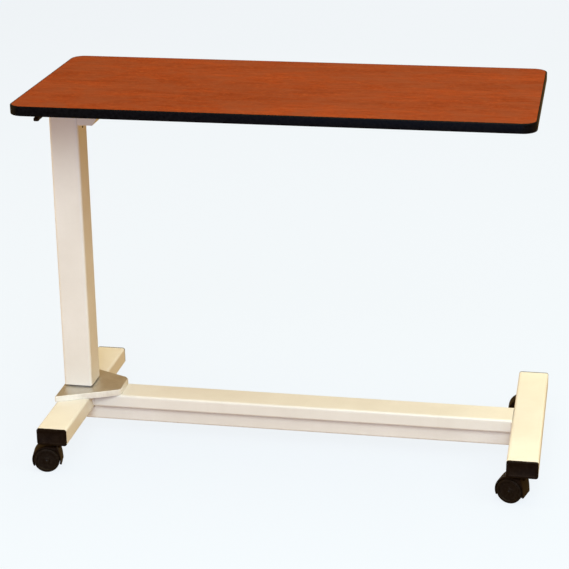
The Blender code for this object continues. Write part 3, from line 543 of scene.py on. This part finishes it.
def guide_plastic():
    """Natural acetal of the sliding guides, with moulding swirls."""
    n = Nodes("natural_acetal", specular=0.45)
    swirls = n.noise(60, 4, 0.6, 1.2)
    base = n.ramp(swirls, ((0.35, (0.70, 0.70, 0.66)), (0.70, (0.80, 0.80, 0.77))))
    n.height((n.noise(800, 2, 0.5), 0.00003))
    return n.finish(base, n.spread(swirls, 0.42, 0.55))


def make_materials():
    return {
        "cream_paint": cream_paint(),
        "plate_paint": plate_paint(),
        "plate_edge_painted_highlight": plate_edge_painted_highlight(),
        "laminate": wood_laminate(),
        "backing": backing_sheet(),
        "edging": black_edging(),
        "black_plastic": black_plastic(),
        "wheel_plastic": wheel_plastic(),
        "guide_plastic": guide_plastic(),
        "zinc_steel": zinc_steel(),
        "black_steel": black_steel(),
    }


def dress_frame(frame, finishes):
    """Give each carried-over node the finish of its slot in the record."""
    for part in frame["record"]["subparts"]:
        node = frame["nodes"][part["node"]]
        node.data.materials.clear()
        node.data.materials.append(finishes[part["material_slot"]])


# ---- the tabletop -------------------------------------------------------------------------
def build_tabletop(finishes):
    """The panel, laminate above and backing below, and the crowned moulding round it."""
    low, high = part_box("tabletop_panel")
    outer_low, outer_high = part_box("tabletop_edge_band")
    length, depth = outer_high.x - outer_low.x, outer_high.y - outer_low.y
    band = low.x - outer_low.x
    thickness = high.z - low.z

    def outline(offset):
        """The tabletop's outline, grown by an offset."""
        corner = TOP_CORNER + offset
        return rounded_rectangle(length + 2 * offset, depth + 2 * offset, corner, TOP_CORNER_STEPS)

    panel = loft([(outline(-band), 0), (outline(-band), thickness)])
    for face in panel.faces:
        face.material_index = 1 if face.calc_center_median().z < thickness / 4 else 0
    centre = ((low.x + high.x) / 2, (low.y + high.y) / 2, low.z)
    move(panel, *centre)
    piece = new_object("top_panel", panel, (finishes["laminate"], finishes["backing"]))
    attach(piece, "lift")
    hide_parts("tabletop_panel")

    half_round = quarter_round(BAND_BEAD, 6)
    profile = [(-inset, BAND_BEAD - rise) for inset, rise in reversed(half_round)]
    profile += [(-inset, thickness - BAND_BEAD + rise) for inset, rise in half_round]
    inner = -band + GAP
    profile += [(inner, thickness), (inner, 0)]
    moulding = loft([(outline(offset), height) for offset, height in profile], closed_ring=True)
    move(moulding, *centre)
    piece = new_object("edge_moulding", moulding, (finishes["edging"],))
    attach(piece, "lift")
    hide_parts("tabletop_edge_band")


# ---- the base's plate, caps and welds -----------------------------------------------------
def plate_outline(low, high, inset):
    """The plate from above, drawn in by an inset: widest over the leg, tapering to a clipped end."""
    half = (high.y - low.y) / 2
    left, right = low.x + inset, high.x - inset
    slope = (half - PLATE_END_HALF) / (high.x - low.x)
    side = inset / cos(atan2(slope, 1))

    def half_depth(x):
        return half - side - slope * (x - low.x)

    from_end, from_side = PLATE_CLIP_BULGE
    front = [(left + along, -half_depth(left) + inward) for along, inward in PLATE_CORNER]
    front += [
        (right - PLATE_CLIP, -half_depth(right - PLATE_CLIP)),
        (right - from_end * PLATE_CLIP, -half_depth(right) + from_side * PLATE_CLIP),
        (right, -half_depth(right) + PLATE_CLIP),
    ]
    return front + [(x, -y) for x, y in reversed(front)]


def build_base_plate(finishes):
    """Sheet pan with rolled edges, hollow underneath and open where it sits on the leg."""
    low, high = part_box("base_plate")
    leg_low, leg_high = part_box("left_leg_tube")
    rolled = [(plate_outline(low, high, inset), high.z - SHEET_BEND + rise)
              for inset, rise in quarter_round(SHEET_BEND, 5)]
    pan = new_object("mounting_plate", loft([(plate_outline(low, high, 0), low.z), *rolled]),
                     (finishes["plate_paint"], finishes["plate_edge_painted_highlight"]))
    hollow = loft([(plate_outline(low, high, SHEET_GAUGE), low.z - HOLLOW_CUT_PAST),
                   (plate_outline(low, high, SHEET_GAUGE), high.z - SHEET_GAUGE)])
    seat_low = (low.x - SEAT_CUT_PAST, -SEAT_CUT_HALF, leg_low.z)
    seat_high = (leg_high.x + 2 * GAP, SEAT_CUT_HALF, leg_high.z + GAP)
    seat = block(seat_low, seat_high)
    carve(pan, (("DIFFERENCE", hollow), ("DIFFERENCE", seat)))
    # The flange's sides get the paler finish, a painted highlight; the upward faces keep the satin one.
    for face in pan.data.polygons:
        face.material_index = 1 if abs(face.normal.z) < FLANGE_NORMAL_Z else 0
    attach(pan, "base")
    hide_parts("base_plate")


def build_leg_cap(name, finishes):
    """End cap with a rolled rim, a shallow panel inside it and its plug in the tube."""
    leg_low, leg_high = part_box("left_leg_tube" if name.endswith("left") else "right_leg_tube")
    width, height = leg_high.x - leg_low.x, leg_high.z - leg_low.z
    front = name.startswith("front")
    profile = list(CAP_PLUG)
    profile += [(-inset, CAP_FACE - CAP_RIM + rise) for inset, rise in quarter_round(CAP_RIM, 4)]
    profile += [(offset, CAP_FACE + step) for offset, step in CAP_PANEL]
    loops = []
    for offset, out in profile:
        corner = max(CAP_CORNER + offset, CAP_LEAST_CORNER)
        size = (width + 2 * offset, height + 2 * offset)
        loops.append((rounded_rectangle(*size, corner, CAP_CORNER_STEPS), out))
    cap = turn(loft(loops), 90 if front else -90, "X")
    seat_y = leg_low.y if front else leg_high.y
    move(cap, (leg_low.x + leg_high.x) / 2, seat_y, (leg_low.z + leg_high.z) / 2)
    piece = new_object(f"end_cap_{name}", cap, (finishes["black_plastic"],))
    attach(piece, "base")
    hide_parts(f"leg_cap_{name}")


def weld_bead(name, body, start, end, finishes, radius=WELD_RADIUS):
    """A painted fillet weld between two points, rippled along its length."""
    start, end = Vector(start), Vector(end)
    length = (end - start).length
    ripples = max(WELD_LEAST_RIPPLES, int(length / WELD_RIPPLE))
    loops = []
    for i in range(ripples + 1):
        share = i / ripples
        swell = 1.0 + WELD_SWELL * (-1) ** i
        taper = sqrt(max(WELD_LEAST_TAPER, 1 - abs(2 * share - 1) ** WELD_END_POWER))
        loops.append((circle(radius * swell * taper, WELD_SIDES), share * length))
    bead = loft(loops)
    aim = (end - start).to_track_quat("Z", "Y").to_matrix()
    bmesh.ops.rotate(bead, verts=bead.verts, cent=(0, 0, 0), matrix=aim)
    move(bead, *start)
    piece = new_object(name, bead, (finishes["cream_paint"],), smooth_angle=WELD_SMOOTH_ANGLE)
    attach(piece, body)


def build_welds(finishes):
    """Beads at the stretcher's ends, stitches along the rail, and beads from the arm to the column."""
    low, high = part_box("stretcher_tube")
    rail_low, rail_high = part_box("lower_rail")
    proud = WELD_RADIUS * WELD_PROUD
    for side, x in (("left", low.x), ("right", high.x)):
        for end, y in (("front", low.y), ("rear", high.y)):
            out = -proud if end == "front" else proud
            weld_bead(f"weld_stretcher_{side}_{end}", "base", (x, y + out, low.z + WELD_END_GAP),
                      (x, y + out, high.z - WELD_END_GAP), finishes)
    for end, y in (("front", rail_low.y), ("rear", rail_high.y)):
        for i in range(STITCHES):
            middle = low.x + (high.x - low.x) * (i + 0.5) / STITCHES
            weld_bead(f"weld_rail_{end}_{i}", "base", (middle - STITCH_HALF_LENGTH, y, low.z - GAP),
                      (middle + STITCH_HALF_LENGTH, y, low.z - GAP), finishes, STITCH_RADIUS)
    column_low, column_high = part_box("outer_column")
    arm_low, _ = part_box("support_arm")
    for end, y in (("front", column_low.y), ("rear", column_high.y)):
        inward = ARM_WELD_INWARD if end == "front" else -ARM_WELD_INWARD
        weld_bead(f"weld_arm_{end}", "lift", (column_high.x, y + inward, arm_low.z + ARM_WELD_BELOW),
                  (column_high.x, y + inward, column_high.z - ARM_WELD_ABOVE), finishes, ARM_WELD_RADIUS)


# ---- the release lever's grip -------------------------------------------------------------
def build_lever_grip(finishes):
    """Soft-cornered grip that swells and turns down at its tip."""
    low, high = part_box("lever_grip")
    width = high.x - low.x
    centre_x = (low.x + high.x) / 2
    bottom = low.z + GRIP_DROP
    loops = []
    for i in range(GRIP_STATIONS + 1):
        share = i / GRIP_STATIONS
        y = low.y + (high.y - low.y) * share
        nose = sqrt(max(0.0, 1 - max(0.0, 1 - share * GRIP_NOSE) ** 2))
        drop = GRIP_DROP * max(0.0, 1 - abs(share - GRIP_DROP_AT) / GRIP_DROP_REACH)
        ribbed = GRIP_RIBBED[0] < share < GRIP_RIBBED[1]
        ribs = GRIP_RIB * cos(share * GRIP_RIB_RATE) if ribbed else 0.0
        top = high.z - ribs - GRIP_NOSE_TOP * (1 - nose)
        under = bottom - drop + GRIP_NOSE_UNDER * (1 - nose)
        wide = width * (GRIP_NOSE_WIDTH + (1 - GRIP_NOSE_WIDTH) * nose)
        outline = rounded_rectangle(wide, top - under, GRIP_CORNER, GRIP_CORNER_STEPS)
        loops.append(([(x, z + (top + under) / 2) for x, z in outline], -y))
    grip = move(turn(loft(loops), 90, "X"), centre_x, 0, 0)
    piece = new_object("lever_handle", grip, (finishes["black_plastic"],), smooth_angle=GRIP_SMOOTH_ANGLE)
    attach(piece, "lever")
    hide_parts("lever_grip")


# ---- the castors --------------------------------------------------------------------------
def hood_outline(trail, inset):
    """Side view about the wheel's centre: fender, front edge and web; X trails and Y is up."""
    fender = arc_points(HOOD_RADIUS - inset, *FENDER_ARC)
    (top_ahead, top_height), *brow = HOOD_FRONT
    top = (-trail - top_ahead + inset, top_height - WHEEL_RADIUS - inset)
    front = [(-trail - ahead + inset / 3, height - WHEEL_RADIUS) for ahead, height in brow]
    return [*fender, top, *front, *arc_points(WEB_RADIUS, *WEB_ARC)]


def build_hood_mesh(trail, boss_top, finishes):
    """One hood in the castor's own axes: stem on Z, wheel trailing along +X."""
    flat_half = HOOD_HALF_WIDTH - HOOD_SHOULDER_RADIUS
    shoulder = [(inset * HOOD_SHOULDER_TAPER, flat_half + rise)
                for inset, rise in quarter_round(HOOD_SHOULDER_RADIUS, 5)]
    sections = [(inset, -height) for inset, height in reversed(shoulder)] + shoulder
    shell = turn(loft([(hood_outline(trail, inset), height) for inset, height in sections]), 90, "X")
    hood = new_object("hood_pattern", move(shell, trail, 0, WHEEL_RADIUS), (finishes["black_plastic"],))
    tools = [("UNION", turned(((BOSS_RADIUS, BOSS_BOTTOM), (BOSS_RADIUS, boss_top)), BOSS_STEPS))]
    for direction in (1, -1):
        pocket = turned(((POCKET_RADIUS, WEB_HALF), (POCKET_RADIUS, POCKET_END)), POCKET_STEPS)
        tools.append(("DIFFERENCE", move(turn(pocket, 90 * direction, "X"), trail, 0, WHEEL_RADIUS)))
    bore = turned(((AXLE_HOLE, -AXLE_HOLE_HALF), (AXLE_HOLE, AXLE_HOLE_HALF)), HOLE_STEPS)
    tools.append(("DIFFERENCE", move(turn(bore, 90, "X"), trail, 0, WHEEL_RADIUS)))
    tools.append(("DIFFERENCE", turned([(STEM_HOLE, height) for height in STEM_HOLE_ENDS], HOLE_STEPS)))
    return carve(hood, tools)


def build_wheel_mesh(finishes):
    """One wheel turned about Z: crowned tread, stepped disc and a small hub button."""
    shoulder = WHEEL_RADIUS - TREAD_CROWN
    rounding = quarter_round(TREAD_ROUNDING, 4)
    profile = [(radius, WHEEL_INNER + depth) for radius, depth in WHEEL_BACK]
    profile += [(shoulder - inset, WHEEL_INNER + TREAD_ROUNDING - rise) for inset, rise in reversed(rounding)]
    profile.append((WHEEL_RADIUS, WHEEL_INNER + (WHEEL_OUTER - WHEEL_INNER) / 2))
    profile += [(shoulder - inset, WHEEL_OUTER - TREAD_ROUNDING + rise) for inset, rise in rounding]
    profile += [(radius, WHEEL_OUTER - depth) for radius, depth in WHEEL_DISC]
    wheel = turned(profile, WHEEL_STEPS)
    for face in wheel.faces:
        in_rivet = max(v.co.xy.length for v in face.verts) < HUB_RIVET + MERGE_DISTANCE
        near_face = face.calc_center_median().z > WHEEL_OUTER - RIVET_DEPTH
        face.material_index = 1 if in_rivet and near_face else 0
    wheel_finishes = (finishes["wheel_plastic"], finishes["black_steel"])
    return new_object("wheel_pattern", wheel, wheel_finishes, smooth_angle=WHEEL_SMOOTH_ANGLE)


def joint_named(frame, name):
    return next(joint for joint in frame["joints"] if joint["name"] == name)


def build_castors(frame, finishes):
    """A hood and two wheels for each castor, turned as the frame's castor stands."""
    hood_pattern = None
    wheel_pattern = build_wheel_mesh(finishes)
    for name in CORNERS:
        stem = Vector(joint_named(frame, f"swivel_{name}")["pos_m"])
        hub = Vector(joint_named(frame, f"wheel_spin_{name}")["pos_m"])
        trail = hub - stem
        heading = atan2(trail.y, trail.x)
        if hood_pattern is None:
            boss_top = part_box(f"castor_hood_{name}")[1].z
            hood_pattern = build_hood_mesh(sqrt(trail.x ** 2 + trail.y ** 2), boss_top, finishes)
        facing = Matrix.Rotation(heading, 4, "Z")
        place = Matrix.Translation((stem.x, stem.y, 0)) @ facing
        hood = copy_mesh(hood_pattern, f"hood_{name}", place)
        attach(hood, f"castor_{name}")
        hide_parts(f"castor_hood_{name}")
        for side, tilt in (("a", 90), ("b", -90)):
            upright = Matrix.Rotation(radians(tilt), 4, "X")
            place = Matrix.Translation(hub) @ facing @ upright
            wheel = copy_mesh(wheel_pattern, f"wheel_{side}_{name}", place)
            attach(wheel, f"wheels_{name}")
            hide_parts(f"castor_wheel_{side}_{name}")
    bpy.data.objects.remove(hood_pattern)
    bpy.data.objects.remove(wheel_pattern)


# ---- stage, light and camera --------------------------------------------------------------
def stage_material():
    """A matt surface that mostly glows by itself, so that it stays even behind the object."""
    n = Nodes("pale_stage", roughness=0.9, specular=0.0)
    paler = tuple(c * 1.01 for c in STAGE_COLOUR)
    tone = n.ramp(n.noise(0.6, 2, 0.5), ((0.3, STAGE_COLOUR), (0.7, paler)))
    n.shader.inputs["Emission Color"].default_value = (*STAGE_GLOW_COLOUR, 1.0)
    n.shader.inputs["Emission Strength"].default_value = STAGE_GLOW
    return n.finish(tone)


def build_stage():
    """A pale floor that curves up into a wall all round, and that only the camera sees."""
    sweep = [(STAGE_RADIUS - inset, STAGE_SWEEP - rise)
             for inset, rise in reversed(quarter_round(STAGE_SWEEP, 10))]
    profile = [(STAGE_CENTRE, 0.0), *sweep, (STAGE_RADIUS, STAGE_WALL)]
    bm = bmesh.new()
    rings = [add_loop(bm, circle(radius, STAGE_STEPS), height) for radius, height in profile]
    for lower, upper in zip(rings, rings[1:]):
        join_loops(bm, upper, lower)
    bm.faces.new(rings[0])
    floor = new_object("studio_floor", bm, (stage_material(),))
    floor.visible_diffuse = False
    floor.visible_glossy = False
    floor.visible_shadow = False


def build_lights():
    """The area lights, the room's warm ambient light and the plain view transform."""
    for name, place, target, size, watts, colour, reflected in LIGHTS:
        lamp = bpy.data.lights.new(name, "AREA")
        lamp.shape = "DISK"
        lamp.size = size
        lamp.energy = watts
        lamp.color = colour
        obj = bpy.data.objects.new(name, lamp)
        obj.location = place
        obj.rotation_euler = (Vector(target) - Vector(place)).to_track_quat("-Z", "Y").to_euler()
        obj.visible_glossy = reflected
        bpy.context.scene.collection.objects.link(obj)
    world = bpy.data.worlds.new("room")
    world.use_nodes = True
    background = world.node_tree.nodes["Background"]
    background.inputs["Color"].default_value = (*ROOM_COLOUR, 1.0)
    background.inputs["Strength"].default_value = ROOM_STRENGTH
    bpy.context.scene.world = world
    bpy.context.scene.view_settings.view_transform = "Standard"


def build_camera():
    """The photo's viewpoint, placed from the tabletop."""
    low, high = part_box("tabletop_panel")
    camera = bpy.data.cameras.new("camera")
    camera.lens = CAMERA_LENS
    camera.sensor_width = CAMERA_SENSOR
    camera.shift_y = CAMERA_SHIFT_Y
    camera.clip_end = 40
    obj = bpy.data.objects.new("camera", camera)
    obj.location = Vector(((low.x + high.x) / 2, (low.y + high.y) / 2, high.z)) + CAMERA_FROM_TOP
    obj.rotation_euler = CAMERA_TURN
    bpy.context.scene.collection.objects.link(obj)
    bpy.context.scene.camera = obj


with open("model.json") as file:
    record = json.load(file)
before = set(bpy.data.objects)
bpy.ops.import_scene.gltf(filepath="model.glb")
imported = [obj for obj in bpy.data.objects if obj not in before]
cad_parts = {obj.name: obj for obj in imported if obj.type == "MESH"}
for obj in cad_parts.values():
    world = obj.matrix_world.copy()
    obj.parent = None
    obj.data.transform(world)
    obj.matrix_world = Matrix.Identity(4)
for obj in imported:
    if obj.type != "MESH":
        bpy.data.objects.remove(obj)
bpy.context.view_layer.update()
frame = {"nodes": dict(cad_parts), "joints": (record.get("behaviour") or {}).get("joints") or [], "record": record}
finishes = make_materials()
dress_frame(frame, finishes)
build_tabletop(finishes)
build_base_plate(finishes)
for corner_name in CORNERS:
    build_leg_cap(corner_name, finishes)
build_welds(finishes)
build_lever_grip(finishes)
build_castors(frame, finishes)
build_stage()
build_lights()
build_camera()
